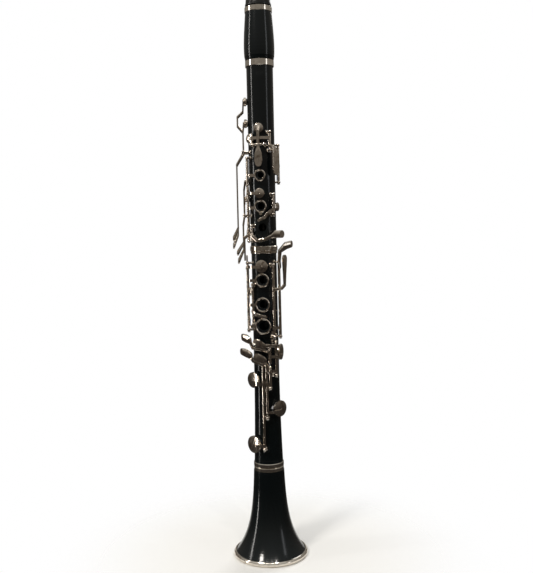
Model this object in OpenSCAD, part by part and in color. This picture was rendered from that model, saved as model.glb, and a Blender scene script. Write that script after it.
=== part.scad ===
// Soprano clarinet in B flat, Boehm system, seventeen keys and six rings.
// The bell's open rim stands on z = 0 and the bore runs up +Z.
// The finger holes face -Y and the thumb hole faces +Y. Sizes are millimetres and degrees.
// An angle round the body is measured from the front (-Y) towards +X.

/* [Bell] */
// Outer diameter of the bell's rim ring
rim_d = 80; // [76:0.5:84]
// Height of the bell, from its rim to the top of its socket ring
bell_h = 100; // [98:1:102]
// Outer diameter of the bell's neck
neck_d = 31.2; // [30.6:0.1:31.6]
// How far the flare opens past the neck, as a radius
flare = 25.6; // [23:0.1:26]
// Height over which the flare falls to a third
flare_fall = 27; // [25:0.5:28]

/* [Joints] */
// Height of the lower joint's top end
lower_top = 333; // [332:0.5:334]
// Height of the upper joint's top end
upper_top = 527; // [526:0.5:528]
// Outer diameter of the lower joint above its skirt
lower_d = 27.2; // [27:0.1:27.6]
// Outer diameter of the upper joint at its foot
upper_d = 28; // [27.8:0.1:28.4]
// Diameter of the air bore
bore_d = 14.8; // [14.4:0.1:15.2]

/* [Barrel and mouthpiece] */
// Length of the barrel
barrel_l = 66; // [64:0.5:67]
// Largest diameter of the barrel
barrel_d = 33.8; // [33:0.1:34.4]
// Length of the mouthpiece above the barrel
mouthpiece_l = 73; // [70:1:76]

/* [Keywork] */
// Diameter of the steel hinge rods
rod_d = 2; // [1.9:0.05:2.1]
// Running clearance round a hinge rod, on the radius
rod_gap = 0.05; // [0.03:0.01:0.08]
// Outer diameter of the hinge tubes
tube_d = 3.1; // [3:0.05:3.2]
// Diameter of the post balls
ball_d = 4; // [3.8:0.1:4.2]
// Thickness of the keys' touches
touch_t = 1.6; // [1.4:0.1:1.8]
// Height of the pad cups
cup_h = 2.9; // [2.7:0.1:3]
// Gap between a closed pad and its seat
pad_gap = 0.15; // [0.1:0.05:0.2]

/* [Hidden] */
$fn = 64;

WOOD = [0.05, 0.055, 0.055];
NICKEL = [0.72, 0.7, 0.66];
STEEL = [0.6, 0.61, 0.63];
SILVER = [0.8, 0.8, 0.8];
PAD = [0.9, 0.86, 0.76];
CORK = [0.76, 0.6, 0.42];
CANE = [0.86, 0.75, 0.5];

bore_r = bore_d / 2;
lower_r = lower_d / 2;
upper_r = upper_d / 2;
upper_taper = 0.5;
skirt_r = 15.5;
seat_rise = 0.7;
pad_t = 2.1;
pad_rim = 0.5;
hole_run = 30;
far = 60;

// Pads: angle, height, cup diameter, tone hole diameter.
register_hole = [180, 505, 8.4, 3];
thumb_vent = [150, 434, 9.6, 5.4];
a_hole = [-3, 459, 10.4, 5];
g_sharp_hole = [-39, 448.5, 10.4, 5.4];
second_vent = [-2, 389.5, 10.6, 6];
side_holes = [[-84, 490, 9.4, 5], [-76, 466, 9.4, 5], [-90, 403, 9.8, 6], [-74, 385, 9.8, 6.4]];
left_sliver_hole = [72, 375, 9.4, 5.6];
c_sharp_hole = [-76, 347.5, 9.6, 6.4];
right_vent = [-1, 311.6, 13.4, 9];
right_sliver_hole = [-84, 284, 9.4, 6];
e_flat_hole = [79, 218.5, 17, 11.4];
f_sharp_hole = [-48, 190, 16.7, 11.6];
f_hole = [55.5, 159, 17.2, 12];
e_hole = [-48, 121, 18.2, 12.4];
UPPER_PADS = concat([register_hole, thumb_vent, a_hole, g_sharp_hole, second_vent,
    left_sliver_hole, c_sharp_hole], side_holes);
LOWER_PADS = [right_vent, right_sliver_hole, e_flat_hole, f_sharp_hole, f_hole, e_hole];

// Finger holes: angle, height, ring's outer diameter, tone hole diameter.
first_hole = [0, 408.6, 12.6, 5.6];
second_hole = [0, 375.5, 13.6, 7];
third_hole = [3, 352.6, 10.4, 8];
thumb_hole = [180, 419.5, 14.6, 8];
right_holes = [[0, 296.6, 15, 7.8], [0, 270.5, 15.8, 8.6], [0, 247.6, 17.2, 10]];
ring_w = 1.7;
ring_t = 1.7;
ring_gap = 0.45;
chimney_rise = 2.4;
ring_drop = 0.5;

// Hinges that run along the body: angle, radius, lower end, upper end.
left_rod = [-51.5, 18.6, 341, 426];
left_split = 397.5;
g_sharp_rod = [35, 18.4, 437, 453];
thumb_rod = [118, 19.2, 404, 441];
left_sliver_rod = [44, 18.4, 368.5, 386.5];
c_sharp_rod = [-37, 17.9, 341, 353.5];
right_rod = [-57, 20, 245.2, 313.5];
right_sliver_rod = [-44, 16.7, 251, 290];
e_rod = [-6.2, 18.4, 118.5, 209.5];
f_rod = [5.8, 18.4, 152, 203.5];
f_sharp_rod = [17.7, 19, 184, 202];
e_flat_rod = [17.7, 19, 208.5, 224];
f_touch_rod = [38, 20, 197, 229.5];
left_f_sharp_rod = [36, 19, 238, 311];
left_e_rod = [58, 20, 238, 314];

// Hinges that lie across the body: angle, radius, height, half the span between posts.
register_pivot = [180, 19.4, 470, 6];
a_pivot = [-3, 20.4, 441, 6.1];
side_pivot_upper = [-82, 19.8, 434.5, 7.4];
side_pivot_lower = [-84, 19.8, 366, 7];

// Opening angle of each key that stands open at rest.
first_open = 5;
second_open = 5.5;
thumb_open = 5;
right_open = 5.5;
f_sharp_open = 8;
f_open = 7;
e_open = 8.5;

// ---------- geometry helpers ----------

function polar(angle, r) = [r * sin(angle), -r * cos(angle)];
function full_turn(a) = a - 360 * floor(a / 360);
function upper_radius(z) = upper_r + upper_taper * (z - lower_top) / (upper_top - lower_top);
function lower_radius(z) = z > 203 ? lower_r
    : lower_r + (skirt_r - lower_r) * pow((203 - z) / 103, 2);
function body_radius(z) = z > lower_top ? upper_radius(z) : lower_radius(z);
function seat_radius(hole) = body_radius(hole[1]) + seat_rise;

// Centre of the circle through three points.
function circle_centre(a, b, c) =
    let (d = 2 * (a.x * (b.y - c.y) + b.x * (c.y - a.y) + c.x * (a.y - b.y)))
    [((a * a) * (b.y - c.y) + (b * b) * (c.y - a.y) + (c * c) * (a.y - b.y)) / d,
     ((a * a) * (c.x - b.x) + (b * b) * (a.x - c.x) + (c * c) * (b.x - a.x)) / d];

// A frame on the body: x across to the right, y up the bore, z outwards.
module on_body(angle, z)
    rotate([0, 0, angle]) translate([0, 0, z]) rotate([90, 0, 0]) children();

// Swings its children about a hinge that runs along the body.
module swing(rod, angle) {
    p = polar(rod[0], rod[1]);
    translate([p.x, p.y, 0]) rotate([0, 0, angle]) translate([-p.x, -p.y, 0]) children();
}

// A flat strip bent on an arc in the plane across the bore, through three points.
module arc_arm(a, b, c, z, w = 2.6, t = 1.3) {
    centre = circle_centre(a, b, c);
    start = atan2(a.y - centre.y, a.x - centre.x);
    sweep_b = full_turn(atan2(b.y - centre.y, b.x - centre.x) - start);
    sweep_c = full_turn(atan2(c.y - centre.y, c.x - centre.x) - start);
    forward = sweep_b < sweep_c;
    translate([centre.x, centre.y, z])
        rotate([0, 0, forward ? start : start + sweep_c])
        rotate_extrude(angle = forward ? sweep_c : 360 - sweep_c, $fn = 96)
        translate([norm(a - centre) - t / 2, -w / 2])
        square([t, w]);
}

// A plate of even thickness through round stations, each [angle, radius, height, half width].
module plate(stations, t = touch_t)
    for (i = [0:len(stations) - 2])
        hull()
            for (s = [stations[i], stations[i + 1]])
                on_body(s[0], s[2])
                    translate([0, 0, s[1] - t / 2]) cylinder(h = t, r = s[3], $fn = 32);

// A straight bar that runs along the body between two heights.
module bar(angle, r, z0, z1, w = 3, t = 1.5, shift = 0)
    on_body(angle, z0)
        translate([shift - w / 2, 0, r - t / 2]) cube([w, z1 - z0, t]);

// The hinge tube of a key, solid, with its ends at two heights.
module tube(rod, z0, z1, d = tube_d) {
    p = polar(rod[0], rod[1]);
    translate([p.x, p.y, z0]) cylinder(h = z1 - z0, d = d);
}

// The clearance hole for a hinge rod.
module rod_bore(rod) {
    p = polar(rod[0], rod[1]);
    translate([p.x, p.y, rod[2] - 5]) cylinder(h = rod[3] - rod[2] + 10, d = rod_d + 2 * rod_gap);
}

// The cross tube of a key that rocks, between two places along the pivot.
module cross_tube(pivot, x0, x1, d = tube_d)
    on_body(pivot[0], pivot[2])
        translate([x0, 0, pivot[1]]) rotate([0, 90, 0]) cylinder(h = x1 - x0, d = d);

module cross_bore(pivot)
    cross_tube(pivot, -pivot[3] - 3, pivot[3] + 3, rod_d + 2 * rod_gap);

// A domed pad cup over a tone hole, closed.
module cup(hole) {
    r = hole[2] / 2;
    wall = 0.6;
    crown = 0.7;
    dome_r = (r * r + crown * crown) / (2 * crown);
    on_body(hole[0], hole[1])
        translate([0, 0, seat_radius(hole) + pad_gap + pad_rim])
            difference() {
                intersection() {
                    cylinder(h = cup_h, r = r);
                    translate([0, 0, cup_h - dome_r]) sphere(r = dome_r, $fn = 128);
                }
                translate([0, 0, -1]) cylinder(h = pad_t - pad_rim + 1, r = r - wall);
            }
}

// The pad that fills a cup, with a rounded edge.
module pad_shape(hole) {
    r = hole[2] / 2 - 0.65;
    edge = 0.4;
    on_body(hole[0], hole[1])
        translate([0, 0, seat_radius(hole) + pad_gap])
            rotate_extrude()
                polygon([[0, 0], [r - edge, 0], [r, edge], [r, pad_t - 0.05], [0, pad_t - 0.05]]);
}

// A finger ring, pressed down round its chimney.
module ring(hole) {
    top = body_radius(hole[1]) + chimney_rise - ring_drop + ring_t;
    on_body(hole[0], hole[1])
        translate([0, 0, top - ring_t])
            rotate_extrude()
                translate([hole[2] / 2 - ring_w, 0])
                    polygon([[0.3, 0], [ring_w - 0.3, 0], [ring_w, 0.4], [ring_w, ring_t - 0.5],
                        [ring_w - 0.5, ring_t], [0.5, ring_t], [0, ring_t - 0.5], [0, 0.4]]);
}

module ring_void(hole)
    on_body(hole[0], hole[1]) cylinder(h = far, r = hole[2] / 2 - ring_w + 0.05);

function ring_level(hole) = body_radius(hole[1]) + chimney_rise - ring_drop + ring_t / 2;
function cup_level(hole) = seat_radius(hole) + pad_gap + pad_rim + cup_h - 0.9;

// A point beside a hole in the plane across the bore, at a radius, shifted across.
function beside(hole, r, shift) =
    [r * sin(hole[0]) + shift * cos(hole[0]), -r * cos(hole[0]) + shift * sin(hole[0])];

// The arm from a hinge tube over to a cup's crown.
module cup_arm(rod, hole, z, via_r, w = 3) {
    end = polar(hole[0], cup_level(hole) + 0.9);
    middle = polar((rod[0] + hole[0]) / 2, via_r);
    arc_arm(polar(rod[0], rod[1]), middle, end, z, w);
}

// The arm from a hinge tube to the edge of a finger ring.
module ring_arm(rod, hole, z, via_r, w = 3.2) {
    side = rod[0] < hole[0] ? -1 : 1;
    end = beside(hole, ring_level(hole), side * (hole[2] / 2 - ring_w / 2));
    middle = polar(rod[0] + (hole[0] - rod[0]) * 0.4, via_r);
    arc_arm(polar(rod[0], rod[1]), middle, end, z, w);
}

// ---------- body ----------

module chimney(hole)
    on_body(hole[0], hole[1])
        translate([0, 0, bore_r + 2])
            cylinder(h = body_radius(hole[1]) + chimney_rise - bore_r - 2,
                r = hole[2] / 2 - ring_w - ring_gap);

module pad_seat(hole)
    on_body(hole[0], hole[1])
        translate([0, 0, bore_r + 2])
            cylinder(h = seat_radius(hole) - bore_r - 2, r = hole[2] / 2 - 1.2);

module tone_hole(hole)
    on_body(hole[0], hole[1]) cylinder(h = hole_run, d = hole[3]);

post_shank_d = 2.4;
post_base_d = 4.4;
post_depth = 2.6;
base_sink = 0.6;

// Posts that hold a rod along the body: angle, rod radius, height.
UPPER_POSTS = [
    [left_rod[0], left_rod[1], left_rod[3] + 1.7], [left_rod[0], left_rod[1], left_rod[2] - 1.7],
    [g_sharp_rod[0], g_sharp_rod[1], g_sharp_rod[3] + 1.7],
    [g_sharp_rod[0], g_sharp_rod[1], g_sharp_rod[2] - 1.7],
    [thumb_rod[0], thumb_rod[1], thumb_rod[3] + 1.7],
    [thumb_rod[0], thumb_rod[1], thumb_rod[2] - 1.7],
    [left_sliver_rod[0], left_sliver_rod[1], left_sliver_rod[3] + 1.7],
    [left_sliver_rod[0], left_sliver_rod[1], left_sliver_rod[2] - 1.7],
    [c_sharp_rod[0], c_sharp_rod[1], c_sharp_rod[3] + 1.7],
    [c_sharp_rod[0], c_sharp_rod[1], c_sharp_rod[2] - 1.7]];
LOWER_POSTS = [
    [right_rod[0], right_rod[1], right_rod[3] + 1.7],
    [right_rod[0], right_rod[1], right_rod[2] - 1.7],
    [right_sliver_rod[0], right_sliver_rod[1], right_sliver_rod[3] + 1.7],
    [right_sliver_rod[0], right_sliver_rod[1], right_sliver_rod[2] - 1.7],
    [e_rod[0], e_rod[1], e_rod[3] + 1.7], [e_rod[0], e_rod[1], e_rod[2] - 1.7],
    [f_rod[0], f_rod[1], f_rod[3] + 1.7], [f_rod[0], f_rod[1], f_rod[2] - 1.7],
    [f_sharp_rod[0], f_sharp_rod[1], f_sharp_rod[3] + 1.7],
    [f_sharp_rod[0], f_sharp_rod[1], f_sharp_rod[2] - 1.7],
    [e_flat_rod[0], e_flat_rod[1], e_flat_rod[3] + 1.7],
    [f_touch_rod[0], f_touch_rod[1], f_touch_rod[3] + 1.7],
    [f_touch_rod[0], f_touch_rod[1], f_touch_rod[2] - 1.7],
    [left_f_sharp_rod[0], left_f_sharp_rod[1], left_f_sharp_rod[3] + 1.7],
    [left_f_sharp_rod[0], left_f_sharp_rod[1], left_f_sharp_rod[2] - 1.7],
    [left_e_rod[0], left_e_rod[1], left_e_rod[3] + 1.7],
    [left_e_rod[0], left_e_rod[1], left_e_rod[2] - 1.7]];
UPPER_PIVOTS = [register_pivot, a_pivot, side_pivot_upper, side_pivot_lower];

// One post for a rod along the body: shank, base, waist and a bored ball.
module post(p) {
    base = body_radius(p[2]) - base_sink;
    on_body(p[0], p[2]) difference() {
        union() {
            post_column(base, p[1]);
            translate([0, 0, p[1]]) sphere(d = ball_d, $fn = 48);
        }
        translate([0, far, p[1]]) rotate([90, 0, 0]) cylinder(h = 2 * far, d = rod_d + 2 * rod_gap);
    }
}

module post_column(base, r) {
    translate([0, 0, base - post_depth]) cylinder(h = r - base + post_depth, d = post_shank_d);
    translate([0, 0, base]) cylinder(h = 1, d = post_base_d);
    translate([0, 0, base + 1]) cylinder(h = 0.8, d1 = post_base_d, d2 = post_shank_d);
}

// The socket in the wood for a post's shank and base.
module post_socket(p, shift = 0) {
    base = body_radius(p[2]) - base_sink;
    on_body(p[0], p[2]) translate([shift, 0, 0]) {
        translate([0, 0, base - post_depth]) cylinder(h = far, d = post_shank_d);
        translate([0, 0, base]) cylinder(h = far, d = post_base_d);
    }
}

// Height above the bore's axis where a cross pivot's post meets the wood.
function pivot_base(p) = sqrt(pow(body_radius(p[2]), 2) - pow(p[3], 2)) - base_sink;

// The two posts of a rod that lies across the body.
module pivot_posts(p)
    for (side = [-1, 1])
        on_body(p[0], p[2]) translate([side * p[3], 0, 0])
            difference() {
                union() {
                    post_column(pivot_base(p), p[1]);
                    translate([0, 0, p[1]]) sphere(d = ball_d, $fn = 48);
                }
                translate([-far, 0, p[1]]) rotate([0, 90, 0])
                    cylinder(h = 2 * far, d = rod_d + 2 * rod_gap);
            }

module pivot_sockets(p)
    for (side = [-1, 1])
        on_body(p[0], p[2]) translate([side * p[3], 0, 0]) {
            translate([0, 0, pivot_base(p) - post_depth]) cylinder(h = far, d = post_shank_d);
            translate([0, 0, pivot_base(p)]) cylinder(h = far, d = post_base_d);
        }

tenon_r = 11.4;
tenon_l = 16;
cork_t = 0.55;
cork_w = 10;
socket_gap = 0.05;
socket_r = tenon_r + socket_gap;

module tenon(z, up)
    translate([0, 0, up ? z : z - tenon_l]) difference() {
        cylinder(h = tenon_l, r = tenon_r);
        translate([0, 0, (tenon_l - cork_w) / 2]) cork_shape();
    }

module cork_shape()
    difference() {
        cylinder(h = cork_w, r = tenon_r);
        translate([0, 0, -1]) cylinder(h = cork_w + 2, r = tenon_r - cork_t);
    }

module air_bore(z0, z1) translate([0, 0, z0]) cylinder(h = z1 - z0, r = bore_r);

module upper_joint() color(WOOD) difference() {
    union() {
        translate([0, 0, lower_top])
            cylinder(h = upper_top - lower_top, r1 = upper_r, r2 = upper_r + upper_taper);
        tenon(upper_top, true);
        tenon(lower_top, false);
        for (h = UPPER_PADS) pad_seat(h);
        for (h = [first_hole, second_hole, thumb_hole]) chimney(h);
    }
    air_bore(lower_top - tenon_l - 1, upper_top + tenon_l + 1);
    for (h = UPPER_PADS) tone_hole(h);
    for (h = [first_hole, second_hole, third_hole]) tone_hole(h);
    for (h = [first_hole, second_hole]) finger_dish(h);
    third_hole_dish();
    on_body(thumb_hole[0], thumb_hole[1]) cylinder(h = hole_run, d = thumb_tube_d);
    on_body(register_hole[0], register_hole[1]) cylinder(h = hole_run, d = register_tube_d);
    for (p = UPPER_POSTS) post_socket(p);
    for (p = UPPER_PIVOTS) pivot_sockets(p);
}

// The dish that a fingertip seals on, in a chimney's rim.
module finger_dish(hole)
    on_body(hole[0], hole[1])
        translate([0, 0, body_radius(hole[1]) + chimney_rise - 0.7])
            cylinder(h = 1, d1 = hole[3] - 0.4, d2 = hole[3] + 1.2);

module third_hole_dish()
    on_body(third_hole[0], third_hole[1])
        translate([0, 0, upper_r - 1.3]) cylinder(h = 2, d1 = third_hole[3], d2 = third_hole[2] + 1);

middle_ring_h = 8;
middle_socket_r = 13.1;

module lower_joint() color(WOOD) difference() {
    union() {
        rotate_extrude($fn = 96) polygon(concat(
            [[0, bell_h]],
            [for (i = [0:8]) let (z = bell_h + 103 * i / 8) [lower_radius(z), z]],
            [[lower_r, lower_top - middle_ring_h], [middle_socket_r, lower_top - middle_ring_h],
             [middle_socket_r, lower_top], [0, lower_top]]));
        tenon(bell_h, false);
        for (h = LOWER_PADS) pad_seat(h);
        for (h = right_holes) chimney(h);
    }
    air_bore(bell_h - tenon_l - 1, lower_top + 1);
    translate([0, 0, lower_top - tenon_l]) cylinder(h = tenon_l + 1, r = socket_r);
    for (h = concat(LOWER_PADS, right_holes)) tone_hole(h);
    for (h = right_holes) finger_dish(h);
    for (p = LOWER_POSTS) post_socket(p);
    thumb_rest_sockets();
}

module ring_band(z, h, r_in, r_out)
    translate([0, 0, z])
        rotate_extrude($fn = 96)
            polygon([[r_in, 0], [r_out - 0.4, 0], [r_out, 0.4], [r_out, h - 0.4],
                [r_out - 0.4, h], [r_in, h]]);

// The lower joint's socket ring: a broad band over a narrow one.
module middle_rings() color(NICKEL) {
    ring_band(lower_top - 5.2, 5.2, middle_socket_r, 14.9);
    ring_band(lower_top - middle_ring_h, 2.6, middle_socket_r, 14.4);
}

bell_wall = 3;
rim_h = 5;
socket_ring_h = 9;
bell_socket_r = 14.2;
rim_seat = 0.8;

function bell_r(z) = neck_d / 2 + flare * exp(-z / flare_fall);
function bell_bore(z) = max(bore_r + 0.6 + (flare + 1.4) * exp(-z / flare_fall), bore_r);

module bell() color(WOOD) difference() {
    rotate_extrude($fn = 128) polygon(concat(
        [for (i = [0:28]) let (z = rim_h + (bell_h - socket_ring_h - rim_h) * pow(i / 28, 1.35))
            [bell_r(z), z]],
        [[bell_socket_r, bell_h - socket_ring_h], [bell_socket_r, bell_h], [bore_r, bell_h]],
        [for (i = [0:24]) let (z = (bell_h - tenon_l - 1) * pow(1 - i / 24, 1.35) + rim_seat)
            [bell_bore(z), z]],
        [[rim_d / 2 - 2.6, rim_seat], [rim_d / 2 - 2.6, rim_h]]));
    translate([0, 0, bell_h - tenon_l]) cylinder(h = tenon_l + 1, r = socket_r);
}

// The nickel band round the open rim, and the two-banded ring round the bell's socket.
module bell_rings() color(NICKEL) {
    rotate_extrude($fn = 128) polygon(concat(
        [[rim_d / 2 - 7.5, 0], [rim_d / 2 - 1.4, 0]],
        [for (i = [0:6]) let (a = -60 + 20 * i)
            [rim_d / 2 - 2.4 + 2.4 * cos(a), 2.4 + 2.4 * sin(a)]],
        [[rim_d / 2 - 1.6, rim_h], [rim_d / 2 - 2.6, rim_h], [rim_d / 2 - 2.6, rim_seat],
         [rim_d / 2 - 7.5, rim_seat]]));
    ring_band(bell_h - 4.6, 4.6, bell_socket_r, 16.2);
    ring_band(bell_h - socket_ring_h, 4.1, bell_socket_r, 16);
}

module tenon_corks() color(CORK) {
    for (z = [upper_top, lower_top - tenon_l, bell_h - tenon_l])
        translate([0, 0, z + (tenon_l - cork_w) / 2]) cork_shape();
}

// ---------- barrel and mouthpiece ----------

barrel_z = upper_top;
barrel_top = barrel_z + barrel_l;
barrel_ring_h = 7;
barrel_seat_r = 14;
mouth_tenon_l = 15;

module barrel() color(WOOD) difference() {
    rotate_extrude($fn = 96) polygon(concat(
        [[0, barrel_z], [barrel_seat_r, barrel_z], [barrel_seat_r, barrel_z + barrel_ring_h]],
        [for (i = [0:12]) let (t = i / 12, z = barrel_z + barrel_ring_h
                + (barrel_l - 2 * barrel_ring_h) * t)
            [15.4 + (barrel_d / 2 - 15.4) * sin(180 * pow(t, 0.62)) - 0.9 * t, z]],
        [[barrel_seat_r, barrel_top - barrel_ring_h], [barrel_seat_r, barrel_top - 1.2],
         [barrel_seat_r - 1.2, barrel_top], [0, barrel_top]]));
    air_bore(barrel_z - 1, barrel_top + 1);
    translate([0, 0, barrel_z - 1]) cylinder(h = tenon_l + 3, r = socket_r);
    translate([0, 0, barrel_top - mouth_tenon_l - 1])
        cylinder(h = mouth_tenon_l + 2, r = socket_r);
}

module barrel_rings() color(NICKEL) {
    ring_band(barrel_z, barrel_ring_h, barrel_seat_r, 15.6);
    ring_band(barrel_top - barrel_ring_h, barrel_ring_h - 1.2, barrel_seat_r, 14.95);
}

mouth_z = barrel_top;
mouth_tip = mouth_z + mouthpiece_l;
window_w = 10.4;
window_l = 33;
table_y = -8.4;
reed_t = 2.6;

// A hard rubber mouthpiece: tapering shank, flat table, beak and a window into the chamber.
module mouthpiece() color(WOOD) difference() {
    union() {
        translate([0, 0, mouth_z - mouth_tenon_l]) cylinder(h = mouth_tenon_l, r = tenon_r);
        translate([0, 0, mouth_z]) cylinder(h = 2, r = 14.2);
        translate([0, 0, mouth_z + 2]) cylinder(h = mouthpiece_l - 2, r1 = 13.8, r2 = 8.6);
    }
    translate([0, 0, mouth_z - mouth_tenon_l - 1])
        cylinder(h = mouthpiece_l + mouth_tenon_l - 34, r = bore_r - 0.1);
    translate([-20, table_y - 20, mouth_z + 5]) cube([40, 20, mouthpiece_l]);
    translate([-window_w / 2, table_y - 1, mouth_tip - window_l - 1.2])
        cube([window_w, bore_r + 4.4, window_l]);
    beak_cut();
}

// The sloping back of the beak, which the upper teeth rest on.
module beak_cut()
    translate([0, 13.2, mouth_tip - 38]) rotate([28.5, 0, 0])
        translate([-20, 0, 0]) cube([40, 30, 60]);

module reed() color(CANE)
    translate([0, 0, mouth_tip - 67.5]) difference() {
        intersection() {
            translate([-6.5, table_y - reed_t, 0]) cube([13, reed_t, 67]);
            translate([0, table_y + 6.4, 0]) cylinder(h = 70, r = 9.2);
        }
        translate([-10, table_y - 0.3, 67.6]) rotate([180 - 4.2, 0, 0]) cube([20, 10, 34]);
    }

ligature_z = mouth_z + 20;
ligature_h = 20;
lug_x = 3.2;
screw_y = table_y - reed_t - 4.1;

function ligature_r(z) = 13.8 - 5.2 * (z - mouth_z - 2) / (mouthpiece_l - 2) + 0.25;

// The band that clamps the reed, with a split between two pairs of lugs.
module ligature() color(NICKEL) difference() {
    union() {
        translate([0, 0, ligature_z])
            cylinder(h = ligature_h, r1 = ligature_r(ligature_z) + 0.9,
                r2 = ligature_r(ligature_z + ligature_h) + 0.9);
        for (z = [ligature_z + 5, ligature_z + 15], x = [-lug_x, lug_x])
            translate([x, table_y - reed_t, z]) rotate([90, 0, 0]) cylinder(h = 6, d = 4);
    }
    translate([0, 0, ligature_z - 1])
        cylinder(h = ligature_h + 2, r1 = ligature_r(ligature_z - 1), r2 = ligature_r(ligature_z + 21));
    translate([-0.9, -30, ligature_z - 1]) cube([1.8, 30, ligature_h + 2]);
    for (z = [ligature_z + 5, ligature_z + 15])
        translate([-20, screw_y, z]) rotate([0, 90, 0]) cylinder(h = 40, d = 1.9);
}

module ligature_screw(z) color(NICKEL)
    translate([0, screw_y, z]) rotate([0, 90, 0]) {
        translate([0, 0, -6.5]) cylinder(h = 14, d = 1.8);
        translate([0, 0, 5.4]) difference() {
            cylinder(h = 7, d = 5);
            for (a = [0:30:330]) rotate([0, 0, a]) translate([2.7, 0, 1])
                cylinder(h = 5, d = 0.7, $fn = 16);
        }
    }

// ---------- tubes, thumb rest ----------

register_tube_d = 5;
thumb_tube_d = 10.4;

module register_tube() color(SILVER)
    on_body(register_hole[0], register_hole[1]) difference() {
        translate([0, 0, 4.5]) cylinder(h = seat_radius(register_hole) - 4.5, d = register_tube_d);
        cylinder(h = hole_run, d = register_hole[3]);
    }

module thumb_tube() color(SILVER)
    on_body(thumb_hole[0], thumb_hole[1]) difference() {
        translate([0, 0, bore_r + 0.4])
            cylinder(h = upper_radius(thumb_hole[1]) + chimney_rise - 0.1 - bore_r,
                d = thumb_tube_d);
        cylinder(h = hole_run, d = thumb_hole[3]);
    }

rest_z = 278;
rest_h = 24;
rest_w = 12;
rest_r = lower_r + 0.2;
strap_hole_d = 3.6;
hook_r = 13.5;
hook_t = 2.2;
hook_run = 9;
rest_screws = [-3, 5];

module rest_place() on_body(180, rest_z) children();

// The curved hook that the right thumb carries the weight on, with a strap eye at its foot.
module thumb_rest() color(NICKEL) difference() {
    union() {
        intersection() {
            translate([0, 0, rest_z - rest_h / 2]) difference() {
                cylinder(h = rest_h, r = rest_r + 2);
                translate([0, 0, -1]) cylinder(h = rest_h + 2, r = rest_r - 0.2);
            }
            rest_place() translate([-rest_w / 2, -rest_h / 2, 0]) cube([rest_w, rest_h, 20]);
        }
        rest_place() translate([-rest_w / 2, rest_h / 2 - hook_r, rest_r + hook_run])
            rotate([0, 90, 0]) rotate_extrude(angle = 90, start = 90, $fn = 96)
                translate([hook_r - hook_t, 0]) square([hook_t, rest_w]);
        rest_place() translate([-rest_w / 2, rest_h / 2 - hook_t, rest_r + 1])
            cube([rest_w, hook_t, hook_run - 1]);
        rest_place() translate([-1, -rest_h / 2 - 0.5, rest_r]) cube([2, 7, 7.4]);
    }
    rest_place() translate([-5, -rest_h / 2 + 3, rest_r + 4]) rotate([0, 90, 0])
        cylinder(h = 10, d = strap_hole_d);
    for (y = rest_screws) rest_place() translate([0, y, 0]) cylinder(h = 40, d = 2.2);
}

module thumb_rest_screws() color(STEEL)
    for (y = rest_screws) rest_place() translate([0, y, 0]) difference() {
        union() {
            translate([0, 0, rest_r - 3.5]) cylinder(h = 5.8, d = 2.2);
            translate([0, 0, rest_r + 2]) cylinder(h = 1, d = 4);
        }
        translate([-3, -0.3, rest_r + 2.6]) cube([6, 0.6, 1]);
    }

module thumb_rest_sockets()
    for (y = rest_screws) rest_place() translate([0, y, rest_r - 3.6]) cylinder(h = 10, d = 2.2);

// ---------- posts, rods and springs ----------

module upper_posts() color(NICKEL) {
    for (p = UPPER_POSTS) post(p);
    for (p = UPPER_PIVOTS) pivot_posts(p);
}

module lower_posts() color(NICKEL)
    for (p = LOWER_POSTS) post(p);

rod_head_d = 2.9;
end_run = 3.4;

// A hinge rod with a slotted head outside its upper post.
module hinge_rod(rod) {
    p = polar(rod[0], rod[1]);
    translate([p.x, p.y, 0]) {
        translate([0, 0, rod[2] - end_run]) cylinder(h = rod[3] - rod[2] + 2 * end_run, d = rod_d);
        translate([0, 0, rod[2] - end_run - 0.8]) rod_head();
    }
}

module rod_head()
    difference() {
        cylinder(h = 0.9, d = rod_head_d);
        translate([-2, -0.2, -0.6]) cube([4, 0.4, 1]);
    }

module cross_rod(p)
    on_body(p[0], p[2]) translate([-p[3] - end_run + 1.2, 0, p[1]]) rotate([0, 90, 0]) {
        cylinder(h = 2 * (p[3] + end_run - 1.2), d = rod_d);
        translate([0, 0, -0.8]) rod_head();
    }

module upper_rods() color(STEEL) {
    for (r = [left_rod, g_sharp_rod, thumb_rod, left_sliver_rod, c_sharp_rod]) hinge_rod(r);
    for (p = UPPER_PIVOTS) cross_rod(p);
}

// The keys of the shared front rod sit on one rod from end to end.
shared_rod = [f_sharp_rod[0], f_sharp_rod[1], f_sharp_rod[2], e_flat_rod[3]];

module lower_rods() color(STEEL)
    for (r = [right_rod, right_sliver_rod, e_rod, f_rod, shared_rod, f_touch_rod,
            left_f_sharp_rod, left_e_rod])
        hinge_rod(r);

spring_d = 0.5;
spring_l = 11;

// Blued needle springs, each set in a post below its hinge tube.
module needle_springs() color([0.15, 0.18, 0.3])
    for (r = [g_sharp_rod, left_sliver_rod, thumb_rod, right_rod, e_rod, f_sharp_rod,
            left_f_sharp_rod, left_e_rod])
        on_body(r[0], r[2] - 0.45) translate([0, 0, r[1] - tube_d / 2 - 0.55])
            rotate([-90, 0, 0]) cylinder(h = spring_l, d = spring_d, $fn = 16);

// ---------- upper joint keys ----------

// Opens the octave vent when the thumb's touch is pressed.
module register_key() color(NICKEL) difference() {
    union() {
        cup(register_hole);
        bar(180, 19.6, 466, 502, 3.2, 1.7);
        bar(180, 19.6, 443, 470, 3.2, 1.7);
        cross_tube(register_pivot, -3.9, 3.9);
        plate([[180, 19.6, 500, 1.6], [180, cup_level(register_hole) + 0.7, 505, 2.2]], 1.6);
        plate([[180, 19.6, 446, 1.7], [180, 20.6, 441, 3.6], [180, 20.6, 434, 4.4]]);
    }
    cross_bore(register_pivot);
}

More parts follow.
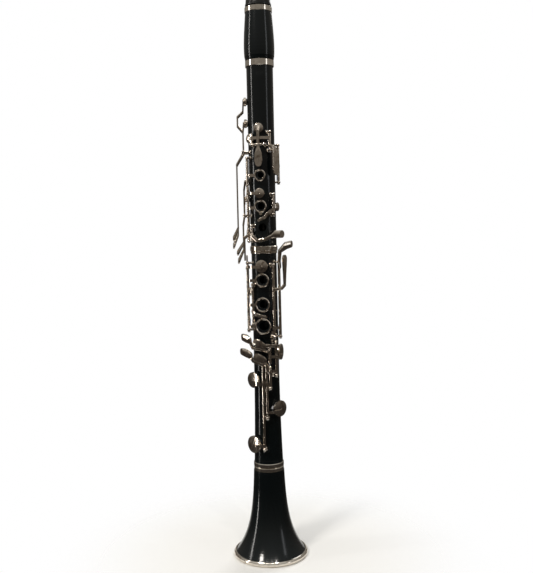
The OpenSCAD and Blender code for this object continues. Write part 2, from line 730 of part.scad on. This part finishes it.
module thumb_ring_key() color(NICKEL) swing(thumb_rod, -thumb_open) difference() {
    union() {
        tube(thumb_rod, thumb_rod[2] + 0.15, thumb_rod[3] - 0.15);
        ring(thumb_hole);
        cup(thumb_vent);
        ring_arm(thumb_rod, thumb_hole, thumb_hole[1], 20.2);
        cup_arm(thumb_rod, thumb_vent, thumb_vent[1], 20);
    }
    rod_bore(thumb_rod);
    ring_void(thumb_hole);
}

module a_key() color(NICKEL) difference() {
    union() {
        cup(a_hole);
        bar(a_hole[0], 21, 436, 456, 3, 1.6);
        cross_tube(a_pivot, -3.9, 3.9);
        plate([[a_hole[0], 21, 455, 1.5], [a_hole[0], cup_level(a_hole) + 0.7, 459.5, 2.6]], 1.6);
        plate([[a_hole[0], 21.1, 436.5, 2], [a_hole[0], 21.4, 430.5, 3.9],
            [a_hole[0], 21.4, 424.5, 4.3], [a_hole[0], 21.4, 421, 3.4]]);
    }
    cross_bore(a_pivot);
}

module g_sharp_key() color(NICKEL) difference() {
    union() {
        tube(g_sharp_rod, g_sharp_rod[2] + 0.15, g_sharp_rod[3] - 0.15);
        cup(g_sharp_hole);
        arc_arm(polar(35, 18.4), polar(-3, 18.15), beside(g_sharp_hole, 18.85, -1), 448.5, 3, 1.1);
        plate([[36, 19.6, 440, 1.6], [47, 20.6, 437, 2.6], [51, 21.2, 430, 4.2],
            [52, 21.4, 418, 4.8], [52, 21.4, 412, 3.6]]);
    }
    rod_bore(g_sharp_rod);
}

module first_ring_key() color(NICKEL) swing(left_rod, -first_open) difference() {
    union() {
        tube(left_rod, left_split + 0.2, left_rod[3] - 0.15);
        ring(first_hole);
        ring_arm(left_rod, first_hole, first_hole[1], 20.2);
    }
    rod_bore(left_rod);
    ring_void(first_hole);
}

bridge_z = 317;
bridge_r = 21.8;

module second_ring_key() color(NICKEL) swing(left_rod, -second_open) difference() {
    union() {
        tube(left_rod, left_rod[2] + 0.15, left_split - 0.2);
        ring(second_hole);
        cup(second_vent);
        ring_arm(left_rod, second_hole, second_hole[1] - 1.5, 20.2);
        cup_arm(left_rod, second_vent, second_vent[1], 20.4);
        plate([[0, ring_level(second_hole) - 0.1, 369.3, 1.4],
            [1, ring_level(second_hole), 367.8, 1.7]], 1.4);
        plate([[-52.5, 20, 344.4, 1.6], [-66, bridge_r, 342, 1.4], [-66, bridge_r, 319, 1.4]], 1.4);
    }
    rod_bore(left_rod);
    ring_void(second_hole);
}

side_w = 2.6;
side_t = 1.5;
side_bar_t = 1.36;
lever_out = 27.4;
lever_low = 21.9;

// The outer trill lever, which bows out past the second trill cup.
module side_key_1() color(NICKEL) difference() {
    union() {
        cup(side_holes[0]);
        cross_tube(side_pivot_upper, -5.2, -0.25);
        plate([[-84, 18.6, 491, 2], [-87, 19.4, 479, 1.4], [-88.5, 25.6, 473.5, 1.4],
            [-88.5, 25.6, 464, 1.4], [-89, 19.8, 457, 1.4], [-89, 19.8, 433, 1.4]], side_t);
        plate([[-89, 19.8, 433, 1.4], [-88, lever_out, 421, 1.4]], side_t);
        bar(-88, lever_out, 352, 421, side_w, side_bar_t);
        plate([[-88, lever_out, 353, 1.4], [-89.5, 32.6, 341.8, 2.9]], side_t);
    }
    cross_bore(side_pivot_upper);
}

module side_key_2() color(NICKEL) difference() {
    union() {
        cup(side_holes[1]);
        cross_tube(side_pivot_upper, 0.25, 5.2);
        plate([[-76, 18.8, 466, 2], [-75.5, 19.8, 457, 1.4], [-75, 19.8, 434, 1.4]], side_t);
        plate([[-75, 19.8, 434, 1.4], [-76.5, lever_out, 421, 1.4]], side_t);
        bar(-76.5, lever_out, 345, 421, side_w, side_bar_t);
        plate([[-76.5, lever_out, 346, 1.4], [-77, 32.6, 333.6, 2.9]], side_t);
    }
    cross_bore(side_pivot_upper);
}

module side_key_3() color(NICKEL) difference() {
    union() {
        cup(side_holes[2]);
        cross_tube(side_pivot_lower, -4.9, -0.25);
        plate([[-90, 18.9, 403, 2], [-93, 20.4, 394, 1.4], [-93, 20.4, 366, 1.4],
            [-91, lever_low, 356, 1.4]], side_t);
        bar(-91, lever_low, 336, 357, side_w, side_bar_t);
        plate([[-91, lever_low, 337, 1.4], [-90, 28.6, 326, 2.8]], side_t);
    }
    cross_bore(side_pivot_lower);
}

module side_key_4() color(NICKEL) difference() {
    union() {
        cup(side_holes[3]);
        cross_tube(side_pivot_lower, 0.25, 4.9);
        plate([[-75, 18.9, 385, 2], [-77, 20.2, 377, 1.4], [-77, 20.2, 366, 1.4],
            [-77, lever_low, 356, 1.4]], side_t);
        bar(-77, lever_low, 328, 357, side_w, side_bar_t);
        plate([[-77, lever_low, 329, 1.4], [-79, 27.6, 317, 2.8]], side_t);
    }
    cross_bore(side_pivot_lower);
}

module left_sliver_key() color(NICKEL) difference() {
    union() {
        tube(left_sliver_rod, left_sliver_rod[2] + 0.15, left_sliver_rod[3] - 0.15);
        cup(left_sliver_hole);
        cup_arm(left_sliver_rod, left_sliver_hole, left_sliver_hole[1], 19.6);
        plate([[42, 19.4, 372, 1.6], [28, 19.2, 369.4, 1.9], [10, 18.8, 363.4, 1.7],
            [-8, 18.4, 360.6, 1.5]], 1.4);
    }
    rod_bore(left_sliver_rod);
}

// Crosses the front below the third hole to a touch for the left little finger.
module c_sharp_key() color(NICKEL) difference() {
    union() {
        tube(c_sharp_rod, c_sharp_rod[2] + 0.15, c_sharp_rod[3] - 0.15);
        cup(c_sharp_hole);
        arc_arm(polar(c_sharp_rod[0], c_sharp_rod[1]), polar(-50, 15.7),
            beside(c_sharp_hole, 17.2, 4.6), c_sharp_hole[1], 2.8, 1);
        plate([[-36, 19, 344.8, 1.6], [-14, 18.6, 339, 1.6], [10, 19, 340, 1.6],
            [32, 20.4, 343.5, 2], [43, 22, 345.5, 4.1], [58, 24.6, 345.5, 4.1]], 1.5);
    }
    rod_bore(c_sharp_rod);
}

// ---------- lower joint keys ----------

module right_ring_key() color(NICKEL) swing(right_rod, -right_open) difference() {
    union() {
        tube(right_rod, right_rod[2] + 0.15, right_rod[3] - 0.15);
        cup(right_vent);
        cup_arm(right_rod, right_vent, right_vent[1] - 0.6, 21);
        for (h = right_holes) {
            ring(h);
            ring_arm(right_rod, h, h[1], 20.9);
        }
        plate([[-57.5, 21, 309.5, 1.5], [-69.5, 19.4, 310.5, 1.6], [-69.5, 19.4, 322, 1.6]], 1.4);
    }
    rod_bore(right_rod);
    for (h = right_holes) ring_void(h);
}

module right_sliver_key() color(NICKEL) difference() {
    union() {
        tube(right_sliver_rod, right_sliver_rod[2] + 0.15, right_sliver_rod[3] - 0.15, 2.9);
        cup(right_sliver_hole);
        arc_arm(polar(right_sliver_rod[0], right_sliver_rod[1]), polar(-57, 15.3),
            beside(right_sliver_hole, 16.9, 4.45), right_sliver_hole[1], 2.8, 1);
        plate([[-43, 17.8, 263.4, 1.6], [-28, 18, 260.2, 1.8], [-8, 18, 258.6, 1.6],
            [8, 18, 257.6, 1.4]], 1.4);
    }
    rod_bore(right_sliver_rod);
}

// Row heights of the right little finger's four touches.
upper_row = 232.5;
lower_row = 218;

module e_flat_key() color(NICKEL) difference() {
    union() {
        tube(e_flat_rod, e_flat_rod[2] + 0.15, e_flat_rod[3] - 0.15);
        cup(e_flat_hole);
        arc_arm(polar(e_flat_rod[0], e_flat_rod[1]), polar(44, 22.8),
            beside(e_flat_hole, 18.2, -3), 215.6, 3, 1.4);
        plate([[-63, 26.4, upper_row + 3.2, 3.7], [-52, 24.8, upper_row + 2.2, 4.3],
            [-43.5, 23.6, upper_row + 0.4, 3.6]]);
        plate([[-41.5, 23.1, upper_row - 1, 2], [-38, 20.4, 224.4, 1.5], [-8, 17.2, 222.6, 1.4],
            [16, 19.6, 220.5, 1.4]], 1.4);
    }
    rod_bore(e_flat_rod);
}

module f_touch() color(NICKEL) difference() {
    union() {
        tube(f_touch_rod, f_touch_rod[2] + 0.15, f_touch_rod[3] - 0.15);
        plate([[-21.5, 22.8, upper_row - 1.4, 3.7], [-12, 23, upper_row - 3, 4.2],
            [-1, 22.9, upper_row - 5.4, 3.4]]);
        plate([[-1, 22.8, upper_row - 5.4, 1.8], [18, 23.2, 228, 1.5], [36, 21.4, 227, 1.6]], 1.4);
        arc_arm(polar(f_touch_rod[0], f_touch_rod[1]), polar(32, 20.4), polar(25, 19.9), 200, 3, 1.3);
    }
    rod_bore(f_touch_rod);
}

module f_key() color(NICKEL) swing(f_rod, -f_open) difference() {
    union() {
        tube(f_rod, f_rod[2] + 0.15, f_rod[3] - 0.15, 2.9);
        cup(f_hole);
        cup_arm(f_rod, f_hole, 156.5, 19.8);
        arc_arm(polar(f_rod[0], f_rod[1]), polar(14, 15.9), polar(25, 16.9), 200, 3, 1.3);
    }
    rod_bore(f_rod);
}

module f_sharp_key() color(NICKEL) swing(f_sharp_rod, f_sharp_open) difference() {
    union() {
        tube(f_sharp_rod, f_sharp_rod[2] + 0.15, f_sharp_rod[3] - 0.15);
        cup(f_sharp_hole);
        arc_arm(polar(f_sharp_rod[0], f_sharp_rod[1]), polar(-10, 22),
            beside(f_sharp_hole, 18.4, 2), 186.8, 3.4, 1.5);
        plate([[-22, 21.6, lower_row - 2.2, 3.8], [-12, 21.6, lower_row - 3.8, 4.2],
            [-3, 21.4, lower_row - 5.6, 3.4]]);
        plate([[-1, 21.4, lower_row - 6.6, 1.8], [5, 21.9, 207, 1.2], [8, 21.9, 201, 1.3],
            [16, 20.6, 198, 1.5]], 1.4);
    }
    rod_bore(f_sharp_rod);
}

module e_key() color(NICKEL) swing(e_rod, e_open) difference() {
    union() {
        tube(e_rod, e_rod[2] + 0.15, e_rod[3] - 0.15, 2.9);
        cup(e_hole);
        cup_arm(e_rod, e_hole, 120.6, 20.4);
        plate([[-65, 26, lower_row + 2.6, 3.6], [-54, 24, lower_row + 1.4, 4.3],
            [-43.5, 22.6, lower_row - 0.8, 3.6]]);
        plate([[-41.5, 22, lower_row - 2.6, 2], [-34, 21.2, 210.8, 1.5], [-18, 20.6, 208.6, 1.4],
            [-7, 19.8, 207, 1.4]], 1.4);
    }
    rod_bore(e_rod);
}

module left_f_sharp_lever() color(NICKEL) difference() {
    union() {
        tube(left_f_sharp_rod, left_f_sharp_rod[2] + 0.15, left_f_sharp_rod[3] - 0.15);
        plate([[40, 20.9, 287, 1.6], [54, 24.2, 287.5, 1.6], [67, 24.6, 291, 1.7],
            [67, 24.8, 303, 2.6],
            [66, 25.2, 313, 3.8], [65.5, 25.4, 319, 4.3]]);
        arc_arm(polar(left_f_sharp_rod[0], left_f_sharp_rod[1]), polar(30, 20),
            polar(24, 20), 241, 3, 1.3);
    }
    rod_bore(left_f_sharp_rod);
}

module left_e_lever() color(NICKEL) difference() {
    union() {
        tube(left_e_rod, left_e_rod[2] + 0.15, left_e_rod[3] - 0.15);
        plate([[56, 21.6, 310.4, 1.8], [46, 25, 317, 1.7], [47, 26, 327.5, 2.2],
            [64, 27.8, 333, 3.9], [75, 31.4, 334.6, 3.6]]);
        arc_arm(polar(left_e_rod[0], left_e_rod[1]), polar(42, 22.6), polar(26, 22), 246, 3, 1.3);
    }
    rod_bore(left_e_rod);
}

// ---------- pads ----------

module register_pad() color(PAD) pad_shape(register_hole);
module thumb_pad() color(PAD) swing(thumb_rod, -thumb_open) pad_shape(thumb_vent);
module a_pad() color(PAD) pad_shape(a_hole);
module g_sharp_pad() color(PAD) pad_shape(g_sharp_hole);
module second_ring_pad() color(PAD) swing(left_rod, -second_open) pad_shape(second_vent);
module side_pad(i) color(PAD) pad_shape(side_holes[i]);
module left_sliver_pad() color(PAD) pad_shape(left_sliver_hole);
module c_sharp_pad() color(PAD) pad_shape(c_sharp_hole);
module right_ring_pad() color(PAD) swing(right_rod, -right_open) pad_shape(right_vent);
module right_sliver_pad() color(PAD) pad_shape(right_sliver_hole);
module e_flat_pad() color(PAD) pad_shape(e_flat_hole);
module f_sharp_pad() color(PAD) swing(f_sharp_rod, f_sharp_open) pad_shape(f_sharp_hole);
module f_pad() color(PAD) swing(f_rod, -f_open) pad_shape(f_hole);
module e_pad() color(PAD) swing(e_rod, e_open) pad_shape(e_hole);

mouthpiece();
reed();
ligature();
ligature_screw(ligature_z + 15);  // ligature_screw_upper
ligature_screw(ligature_z + 5);  // ligature_screw_lower
barrel();
barrel_rings();
upper_joint();
lower_joint();
middle_rings();
bell();
bell_rings();
tenon_corks();
register_tube();
thumb_tube();
thumb_rest();
thumb_rest_screws();
upper_posts();
lower_posts();
upper_rods();
lower_rods();
needle_springs();
register_key();
thumb_ring_key();
a_key();
g_sharp_key();
first_ring_key();
second_ring_key();
side_key_1();
side_key_2();
side_key_3();
side_key_4();
left_sliver_key();
c_sharp_key();
right_ring_key();
right_sliver_key();
e_flat_key();
f_sharp_key();
f_key();
f_touch();
e_key();
left_e_lever();
left_f_sharp_lever();
register_pad();
thumb_pad();
a_pad();
g_sharp_pad();
second_ring_pad();
side_pad(0);  // side_pad_1
side_pad(1);  // side_pad_2
side_pad(2);  // side_pad_3
side_pad(3);  // side_pad_4
left_sliver_pad();
c_sharp_pad();
right_ring_pad();
right_sliver_pad();
e_flat_pad();
f_sharp_pad();
f_pad();
e_pad();
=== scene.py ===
import math

import bmesh
import bpy
from mathutils import Matrix, Vector

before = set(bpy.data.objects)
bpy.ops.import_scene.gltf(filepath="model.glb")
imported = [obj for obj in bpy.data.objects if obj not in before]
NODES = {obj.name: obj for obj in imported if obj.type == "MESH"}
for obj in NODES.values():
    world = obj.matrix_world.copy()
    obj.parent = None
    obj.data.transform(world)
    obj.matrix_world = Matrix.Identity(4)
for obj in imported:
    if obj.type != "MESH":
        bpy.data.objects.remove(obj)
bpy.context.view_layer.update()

# ---------- camera, floor and light ----------

AXIS_DISTANCE = 0.826       # from the camera to the bore's axis
CAMERA_HEIGHT = 0.345
CAMERA_SWING = math.radians(6.5)
CAMERA_ROLL = math.radians(-1.37)
FLOOR_RADIUS = 1.6
FLOOR_DROP = 0.0002         # keeps the floor's face off the bell rim's
FADE_START, FADE_END = 0.05, 0.26
LAMP_PLACES = (-0.9, -0.3, 0.3, 0.9)
# The room's tone by height, from straight down (0) to straight up (1).
ROOM_TONES = [
    (0.0, (0.05, 0.045, 0.04)), (0.40, (0.035, 0.03, 0.026)), (0.5, (0.10, 0.088, 0.075)),
    (0.60, (0.20, 0.185, 0.165)), (0.8, (0.32, 0.31, 0.29)), (1.0, (0.6, 0.6, 0.58)),
]


def make_camera():
    """A level camera a little to the right of the tone holes' line."""
    data = bpy.data.cameras.new("camera")
    data.sensor_width = 36
    data.lens = 47.75
    data.shift_x = 0.0052
    data.shift_y = -0.09
    data.clip_start = 0.01
    camera = bpy.data.objects.new("camera", data)
    bpy.context.scene.collection.objects.link(camera)
    away = Vector((math.sin(CAMERA_SWING), -math.cos(CAMERA_SWING), 0))
    camera.location = away * AXIS_DISTANCE + Vector((0, 0, CAMERA_HEIGHT))
    turn = (-away).to_track_quat("-Z", "Y").to_matrix() @ Matrix.Rotation(CAMERA_ROLL, 3, "Z")
    camera.rotation_euler = turn.to_euler()
    bpy.context.scene.camera = camera


def area_light(name, place, target, size, power, colour):
    """A rectangular lamp that faces a target point."""
    data = bpy.data.lights.new(name, "AREA")
    data.shape = "RECTANGLE"
    data.size, data.size_y = size
    data.energy = power
    data.color = colour
    lamp = bpy.data.objects.new(name, data)
    bpy.context.scene.collection.objects.link(lamp)
    lamp.location = place
    lamp.rotation_euler = (Vector(target) - Vector(place)).to_track_quat("-Z", "Y").to_euler()


def make_world():
    """White where the camera looks past the object, and a soft room for light and reflections."""
    world = bpy.data.worlds.new("room")
    bpy.context.scene.world = world
    world.use_nodes = True
    tree = world.node_tree
    tree.nodes.clear()
    place = tree.nodes.new("ShaderNodeTexCoord")
    split = tree.nodes.new("ShaderNodeSeparateXYZ")
    ramp = tree.nodes.new("ShaderNodeValToRGB")
    room, white = tree.nodes.new("ShaderNodeBackground"), tree.nodes.new("ShaderNodeBackground")
    path, mix = tree.nodes.new("ShaderNodeLightPath"), tree.nodes.new("ShaderNodeMixShader")
    out = tree.nodes.new("ShaderNodeOutputWorld")
    while len(ramp.color_ramp.elements) < len(ROOM_TONES):
        ramp.color_ramp.elements.new(0.5)
    for element, (position, colour) in zip(ramp.color_ramp.elements, ROOM_TONES):
        element.position = position
        element.color = (*colour, 1)
    lift = tree.nodes.new("ShaderNodeMapRange")
    lift.inputs["From Min"].default_value = -1
    white.inputs["Color"].default_value = (1, 1, 1, 1)
    link = tree.links.new
    link(place.outputs["Generated"], split.inputs[0])
    link(split.outputs["Z"], lift.inputs["Value"])
    link(lift.outputs["Result"], ramp.inputs["Fac"])
    link(ramp.outputs["Color"], room.inputs["Color"])
    link(path.outputs["Is Camera Ray"], mix.inputs["Fac"])
    link(room.outputs[0], mix.inputs[1])
    link(white.outputs[0], mix.inputs[2])
    link(mix.outputs[0], out.inputs["Surface"])


def make_floor():
    """A pale floor that fades into the white room."""
    mesh = bpy.data.meshes.new("floor")
    shape = bmesh.new()
    bmesh.ops.create_circle(shape, cap_ends=True, segments=96, radius=FLOOR_RADIUS)
    shape.to_mesh(mesh)
    shape.free()
    floor = bpy.data.objects.new("floor", mesh)
    bpy.context.scene.collection.objects.link(floor)
    floor.location.z = -FLOOR_DROP
    material = bpy.data.materials.new("floor_paper")
    material.use_nodes = True
    tree = material.node_tree
    tree.nodes.clear()
    out = tree.nodes.new("ShaderNodeOutputMaterial")
    paper = tree.nodes.new("ShaderNodeBsdfDiffuse")
    clear = tree.nodes.new("ShaderNodeBsdfTransparent")
    mix = tree.nodes.new("ShaderNodeMixShader")
    place, length = tree.nodes.new("ShaderNodeTexCoord"), tree.nodes.new("ShaderNodeVectorMath")
    fade = tree.nodes.new("ShaderNodeMapRange")
    length.operation = "LENGTH"
    fade.interpolation_type = "SMOOTHERSTEP"
    fade.inputs["From Min"].default_value = FADE_START
    fade.inputs["From Max"].default_value = FADE_END
    paper.inputs["Color"].default_value = (0.93, 0.93, 0.92, 1)
    link = tree.links.new
    link(place.outputs["Object"], length.inputs[0])
    link(length.outputs["Value"], fade.inputs["Value"])
    link(fade.outputs["Result"], mix.inputs["Fac"])
    link(paper.outputs[0], mix.inputs[1])
    link(clear.outputs[0], mix.inputs[2])
    link(mix.outputs[0], out.inputs["Surface"])
    mesh.materials.append(material)


make_camera()
make_world()
make_floor()
area_light("strip_left", (-1.9, -0.55, 0.55), (0, 0, 0.4), (0.1, 1.8), 9, (1, 0.97, 0.93))
area_light("key_front", (-1.3, -2.0, 2.3), (0, 0, 0.35), (0.5, 0.5), 30, (1, 0.96, 0.9))
area_light("fill_right", (1.9, -0.9, 0.9), (0, 0, 0.3), (0.3, 1.2), 2, (0.93, 0.96, 1))
area_light("rim_back", (0.6, 1.9, 1.8), (0, 0, 0.35), (1.2, 1.0), 22, (1, 1, 1))
for x in LAMP_PLACES:
    area_light("lamp", (x, -1.7, 2.4), (0, 0, 0.3), (0.1, 0.1), 5, (1, 0.95, 0.88))
bpy.context.scene.view_settings.view_transform = "Standard"

# ---------- materials ----------


class Paint:
    """A procedural material in the row frame, in metres, built node by node."""

    def __init__(self, name, metallic=0.0, specular=0.5, coat=0.0, coat_roughness=0.05, sheen=0.0):
        self.material = bpy.data.materials.new(name)
        self.material.use_nodes = True
        self.tree = self.material.node_tree
        self.tree.nodes.clear()
        self.shader = self.add("ShaderNodeBsdfPrincipled")
        self.shader.inputs["Metallic"].default_value = metallic
        self.shader.inputs["Specular IOR Level"].default_value = specular
        self.shader.inputs["Coat Weight"].default_value = coat
        self.shader.inputs["Coat Roughness"].default_value = coat_roughness
        self.shader.inputs["Sheen Weight"].default_value = sheen
        out = self.add("ShaderNodeOutputMaterial")
        self.link(self.shader.outputs[0], out.inputs["Surface"])
        self.place = self.add("ShaderNodeTexCoord")
        self.height = None

    def add(self, kind):
        return self.tree.nodes.new(kind)

    def link(self, a, b):
        self.tree.links.new(a, b)

    def coordinates(self, stretch):
        """Object coordinates, scaled along each axis."""
        mapping = self.add("ShaderNodeMapping")
        mapping.inputs["Scale"].default_value = stretch
        self.link(self.place.outputs["Object"], mapping.inputs["Vector"])
        return mapping.outputs["Vector"]

    def noise(self, scale, detail=3.0, stretch=(1, 1, 1), rough=0.5, distortion=0.0):
        node = self.add("ShaderNodeTexNoise")
        node.inputs["Scale"].default_value = scale
        node.inputs["Detail"].default_value = detail
        node.inputs["Roughness"].default_value = rough
        node.inputs["Distortion"].default_value = distortion
        self.link(self.coordinates(stretch), node.inputs["Vector"])
        return node.outputs["Fac"]

    def cells(self, scale, stretch=(1, 1, 1)):
        """Distance to the nearest of many scattered cells."""
        node = self.add("ShaderNodeTexVoronoi")
        node.inputs["Scale"].default_value = scale
        self.link(self.coordinates(stretch), node.inputs["Vector"])
        return node.outputs["Distance"]

    def span(self, value, low, high, start=0.3, end=0.7):
        """Carry a value from start..end to low..high."""
        node = self.add("ShaderNodeMapRange")
        node.inputs["From Min"].default_value = start
        node.inputs["From Max"].default_value = end
        node.inputs["To Min"].default_value = low
        node.inputs["To Max"].default_value = high
        self.link(value, node.inputs["Value"])
        return node.outputs["Result"]

    def ramp(self, value, stops):
        node = self.add("ShaderNodeValToRGB")
        while len(node.color_ramp.elements) < len(stops):
            node.color_ramp.elements.new(0.5)
        for element, (position, colour) in zip(node.color_ramp.elements, stops):
            element.position = position
            element.color = (*colour, 1)
        self.link(value, node.inputs["Fac"])
        return node.outputs["Color"]

    def mix(self, factor, a, b):
        node = self.add("ShaderNodeMix")
        node.data_type = "RGBA"
        self.link(factor, node.inputs["Factor"])
        self.link(a, node.inputs["A"])
        if isinstance(b, tuple):
            node.inputs["B"].default_value = (*b, 1)
        else:
            self.link(b, node.inputs["B"])
        return node.outputs["Result"]

    def maths(self, operation, a, b):
        node = self.add("ShaderNodeMath")
        node.operation = operation
        node.use_clamp = True
        for value, socket in ((a, node.inputs[0]), (b, node.inputs[1])):
            if isinstance(value, float):
                socket.default_value = value
            else:
                self.link(value, socket)
        return node.outputs[0]

    def edges(self, start=0.52, end=0.62):
        """One on sharp outer edges and none on flat faces."""
        node = self.add("ShaderNodeNewGeometry")
        return self.span(node.outputs["Pointiness"], 0, 1, start, end)

    def bump(self, value, strength, distance):
        """Lay one more layer of relief over those before it."""
        node = self.add("ShaderNodeBump")
        node.inputs["Strength"].default_value = strength
        node.inputs["Distance"].default_value = distance
        self.link(value, node.inputs["Height"])
        if self.height:
            self.link(self.height, node.inputs["Normal"])
        self.height = node.outputs["Normal"]
        self.link(self.height, self.shader.inputs["Normal"])

    def colour(self, value):
        self.link(value, self.shader.inputs["Base Color"])

    def roughness(self, value):
        self.link(value, self.shader.inputs["Roughness"])


def black_resin(name, low, high, gloss, coat):
    """Moulded and polished black resin: long faint swirls, fine buffing marks, worn edges."""
    p = Paint(name, specular=0.36, coat=coat, coat_roughness=0.04)
    tone = p.ramp(p.noise(26, 4, (1, 1, 0.22), distortion=0.6), [(0.3, low), (0.7, high)])
    worn = p.maths("MULTIPLY", p.edges(0.53, 0.64), p.span(p.noise(240), 0.2, 1.0))
    p.colour(p.mix(worn, tone, (0.028, 0.032, 0.033)))
    smear = p.span(p.noise(34, 5, (1, 1, 0.5)), gloss[0], gloss[1])
    p.roughness(p.maths("ADD", smear, p.maths("MULTIPLY", worn, 0.18)))
    p.bump(p.noise(2600, 2, (1, 1, 6)), 0.05, 0.00002)
    p.bump(p.noise(110, 2), 0.1, 0.00012)
    return p.material


def plated(name, light, dark, gloss, grain=(1, 1, 1), tarnish=0.55):
    """Nickel plate: brown tarnish in patches, handling haze, fine scratches and bright edges."""
    p = Paint(name, metallic=1.0)
    patches = p.noise(170, 5, rough=0.62, distortion=0.4)
    tone = p.ramp(patches, [(0.28, dark), (0.28 + 0.4 * tarnish, light), (1.0, light)])
    bright = p.maths("MULTIPLY", p.edges(0.52, 0.6), 0.6)
    rubbed = tuple(min(1.0, c * 1.16) for c in light)
    p.colour(p.mix(bright, tone, rubbed))
    haze = p.span(p.noise(310, 4, rough=0.6), gloss[0], gloss[1])
    p.roughness(haze)
    p.bump(p.noise(5200, 2, grain), 0.07, 0.00002)
    p.bump(p.noise(420, 2), 0.1, 0.00006)
    return p.material


def cork_material():
    """Tenon cork: warm grains with darker pits."""
    p = Paint("cork", sheen=0.1)
    grains = p.cells(900)
    base = p.ramp(p.noise(700, 4), [(0.3, (0.34, 0.19, 0.09)), (0.7, (0.62, 0.42, 0.24))])
    pits = p.span(grains, 1, 0, 0.0, 0.35)
    p.colour(p.mix(p.maths("MULTIPLY", pits, 0.5), base, (0.16, 0.08, 0.04)))
    p.roughness(p.span(p.noise(500), 0.7, 0.95))
    p.bump(grains, 0.5, 0.0001)
    return p.material


def cane_material():
    """Reed cane: straight fibres along the reed, stained in places."""
    p = Paint("cane")
    fibres = p.noise(2400, 3, (1, 1, 0.03))
    base = p.ramp(fibres, [(0.3, (0.52, 0.33, 0.12)), (0.7, (0.82, 0.62, 0.31))])
    stain = p.span(p.noise(90, 3), 0, 0.5)
    p.colour(p.mix(stain, base, (0.62, 0.38, 0.15)))
    p.roughness(p.span(p.noise(900), 0.42, 0.62))
    p.bump(fibres, 0.35, 0.00006)
    return p.material


def pad_material():
    """Pad skin: pale and matte, with fine wrinkles."""
    p = Paint("pad_skin", sheen=0.15)
    base = p.ramp(p.noise(380, 4), [(0.3, (0.66, 0.55, 0.38)), (0.7, (0.86, 0.78, 0.62))])
    p.colour(base)
    p.roughness(p.span(p.noise(900), 0.45, 0.66))
    p.bump(p.noise(1500, 4), 0.25, 0.00006)
    return p.material


def blued_material():
    """Blued spring steel with drawing marks along the wire."""
    p = Paint("spring_steel", metallic=1.0)
    tone = p.ramp(p.noise(300, 3), [(0.3, (0.03, 0.05, 0.16)), (0.7, (0.12, 0.16, 0.34))])
    p.colour(tone)
    p.roughness(p.span(p.noise(1200), 0.22, 0.4))
    p.bump(p.noise(4000, 2, (1, 1, 0.2)), 0.1, 0.00002)
    return p.material


NICKEL_LIGHT, NICKEL_DARK = (0.70, 0.63, 0.55), (0.30, 0.23, 0.17)
SLOTS = {
    "body_wood": black_resin("body_wood", (0.0018, 0.0032, 0.0037), (0.0038, 0.0062, 0.0070),
                             (0.10, 0.20), 0.12),
    "hard_rubber": black_resin("hard_rubber", (0.0045, 0.0046, 0.0050), (0.0100, 0.0100, 0.0105),
                               (0.24, 0.40), 0.05),
    "key_nickel": plated("key_nickel", NICKEL_LIGHT, NICKEL_DARK, (0.07, 0.22)),
    "ring_nickel": plated("ring_nickel", (0.78, 0.72, 0.64), (0.34, 0.28, 0.22), (0.07, 0.18),
                          (6, 6, 0.6)),
    "ligature_metal": plated("ligature_metal", (0.74, 0.71, 0.66), (0.46, 0.42, 0.37),
                             (0.12, 0.26), (1, 1, 0.3), 0.4),
    "tube_metal": plated("tube_metal", (0.80, 0.79, 0.77), (0.50, 0.48, 0.45), (0.14, 0.3)),
    "rod_steel": plated("rod_steel", (0.56, 0.56, 0.56), (0.32, 0.30, 0.28), (0.16, 0.34),
                        (1, 1, 4), 0.4),
    "spring_steel": blued_material(),
    "pad_skin": pad_material(),
    "cork": cork_material(),
    "cane": cane_material(),
}

for node in NODES.values():
    for material_slot in node.material_slots:
        material_slot.material = SLOTS[material_slot.material.name.split(".")[0]]
